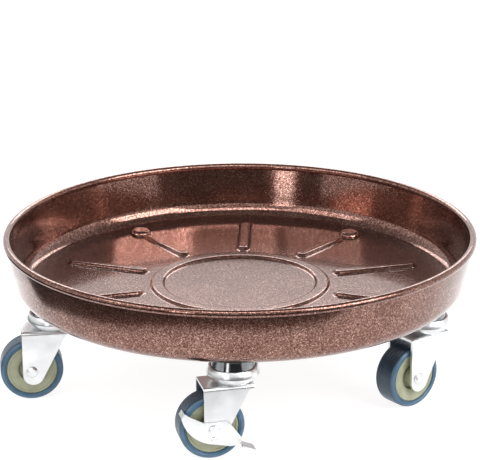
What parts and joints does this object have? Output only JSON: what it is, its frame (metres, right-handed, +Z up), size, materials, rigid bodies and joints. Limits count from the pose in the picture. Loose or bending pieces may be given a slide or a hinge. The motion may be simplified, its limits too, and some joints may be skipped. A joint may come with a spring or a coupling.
{
  "type": "plant pot caddy",
  "caption": "Round pressed-steel plant pot caddy: dished tray with a rolled rim and embossed floor, on swivel casters, one with a brake lever.",
  "frame": {"origin": "on the floor, under the tray's centre", "axes": "+Z up along the tray's axis; the braked caster is at the front, towards -Y; +X to the right seen from the front"},
  "size_m": [0.3826, 0.38, 0.125],
  "materials": {
    "tray_paint": "antique copper hammered-vein powder coat",
    "zinc_steel": "bright zinc plate",
    "dark_chrome": "dark polished plate",
    "ball_steel": "polished, greased",
    "hub_plastic": "moulded, satin",
    "tyre_rubber": "grey-blue thermoplastic rubber, satin"
  },
  "bodies": {
    "tray": {"tray": "tray_paint", "front_stem": "zinc_steel", "front_cap_nut": "tray_paint", "front_upper_race": "dark_chrome", "right_stem": "zinc_steel", "right_cap_nut": "tray_paint", "right_upper_race": "dark_chrome", "back_right_stem": "zinc_steel", "back_right_cap_nut": "tray_paint", "back_right_upper_race": "dark_chrome", "back_left_stem": "zinc_steel", "back_left_cap_nut": "tray_paint", "back_left_upper_race": "dark_chrome", "left_stem": "zinc_steel", "left_cap_nut": "tray_paint", "left_upper_race": "dark_chrome"},
    "front_swivel": {"front_race_balls": "ball_steel", "front_swivel_cup": "zinc_steel", "front_fork": "zinc_steel", "front_axle": "zinc_steel", "front_axle_nut": "zinc_steel", "front_axle_sleeve": "zinc_steel", "brake_rivet": "zinc_steel"},
    "front_wheel": {"front_hub": "hub_plastic", "front_tyre": "tyre_rubber"},
    "brake_lever": {"brake_lever": "zinc_steel"},
    "right_swivel": {"right_race_balls": "ball_steel", "right_swivel_cup": "zinc_steel", "right_fork": "zinc_steel", "right_axle": "zinc_steel", "right_axle_nut": "zinc_steel", "right_axle_sleeve": "zinc_steel"},
    "right_wheel": {"right_hub": "hub_plastic", "right_tyre": "tyre_rubber"},
    "back_right_swivel": {"back_right_race_balls": "ball_steel", "back_right_swivel_cup": "zinc_steel", "back_right_fork": "zinc_steel", "back_right_axle": "zinc_steel", "back_right_axle_nut": "zinc_steel", "back_right_axle_sleeve": "zinc_steel"},
    "back_right_wheel": {"back_right_hub": "hub_plastic", "back_right_tyre": "tyre_rubber"},
    "back_left_swivel": {"back_left_race_balls": "ball_steel", "back_left_swivel_cup": "zinc_steel", "back_left_fork": "zinc_steel", "back_left_axle": "zinc_steel", "back_left_axle_nut": "zinc_steel", "back_left_axle_sleeve": "zinc_steel"},
    "back_left_wheel": {"back_left_hub": "hub_plastic", "back_left_tyre": "tyre_rubber"},
    "left_swivel": {"left_race_balls": "ball_steel", "left_swivel_cup": "zinc_steel", "left_fork": "zinc_steel", "left_axle": "zinc_steel", "left_axle_nut": "zinc_steel", "left_axle_sleeve": "zinc_steel"},
    "left_wheel": {"left_hub": "hub_plastic", "left_tyre": "tyre_rubber"}
  },
  "joints": [
    {"name": "front_swivel_turn", "type": "hinge", "parent": "tray", "child": "front_swivel", "pos_m": [-0.00541, -0.15491, 0.0583], "axis": [0, 0, 1], "continuous": true},
    {"name": "front_wheel_spin", "type": "hinge", "parent": "front_swivel", "child": "front_wheel", "pos_m": [-0.02287, -0.15926, 0.025], "axis": [-0.2419, 0.9703, 0], "continuous": true},
    {"name": "brake_press", "type": "hinge", "parent": "front_swivel", "child": "brake_lever", "pos_m": [-0.02287, -0.15926, 0.0174], "axis": [-0.2419, 0.9703, 0], "range_deg": [0, 7]},
    {"name": "right_swivel_turn", "type": "hinge", "parent": "tray", "child": "right_swivel", "pos_m": [0.14565, -0.05301, 0.0583], "axis": [0, 0, 1], "continuous": true},
    {"name": "right_wheel_spin", "type": "hinge", "parent": "right_swivel", "child": "right_wheel", "pos_m": [0.13147, -0.06409, 0.025], "axis": [-0.6157, 0.788, 0], "continuous": true},
    {"name": "back_right_swivel_turn", "type": "hinge", "parent": "tray", "child": "back_right_swivel", "pos_m": [0.09543, 0.12214, 0.0583], "axis": [0, 0, 1], "continuous": true},
    {"name": "back_right_wheel_spin", "type": "hinge", "parent": "back_right_swivel", "child": "back_right_wheel", "pos_m": [0.10303, 0.13846, 0.025], "axis": [0.9063, -0.4226, 0], "continuous": true},
    {"name": "back_left_swivel_turn", "type": "hinge", "parent": "tray", "child": "back_left_swivel", "pos_m": [-0.08667, 0.1285, 0.0583], "axis": [0, 0, 1], "continuous": true},
    {"name": "back_left_wheel_spin", "type": "hinge", "parent": "back_left_swivel", "child": "back_left_wheel", "pos_m": [-0.09283, 0.14542, 0.025], "axis": [0.9397, 0.342, 0], "continuous": true},
    {"name": "left_swivel_turn", "type": "hinge", "parent": "tray", "child": "left_swivel", "pos_m": [-0.149, -0.04272, 0.0583], "axis": [0, 0, 1], "continuous": true},
    {"name": "left_wheel_spin", "type": "hinge", "parent": "left_swivel", "child": "left_wheel", "pos_m": [-0.16682, -0.04523, 0.025], "axis": [-0.1392, 0.9903, 0], "continuous": true}
  ]
}
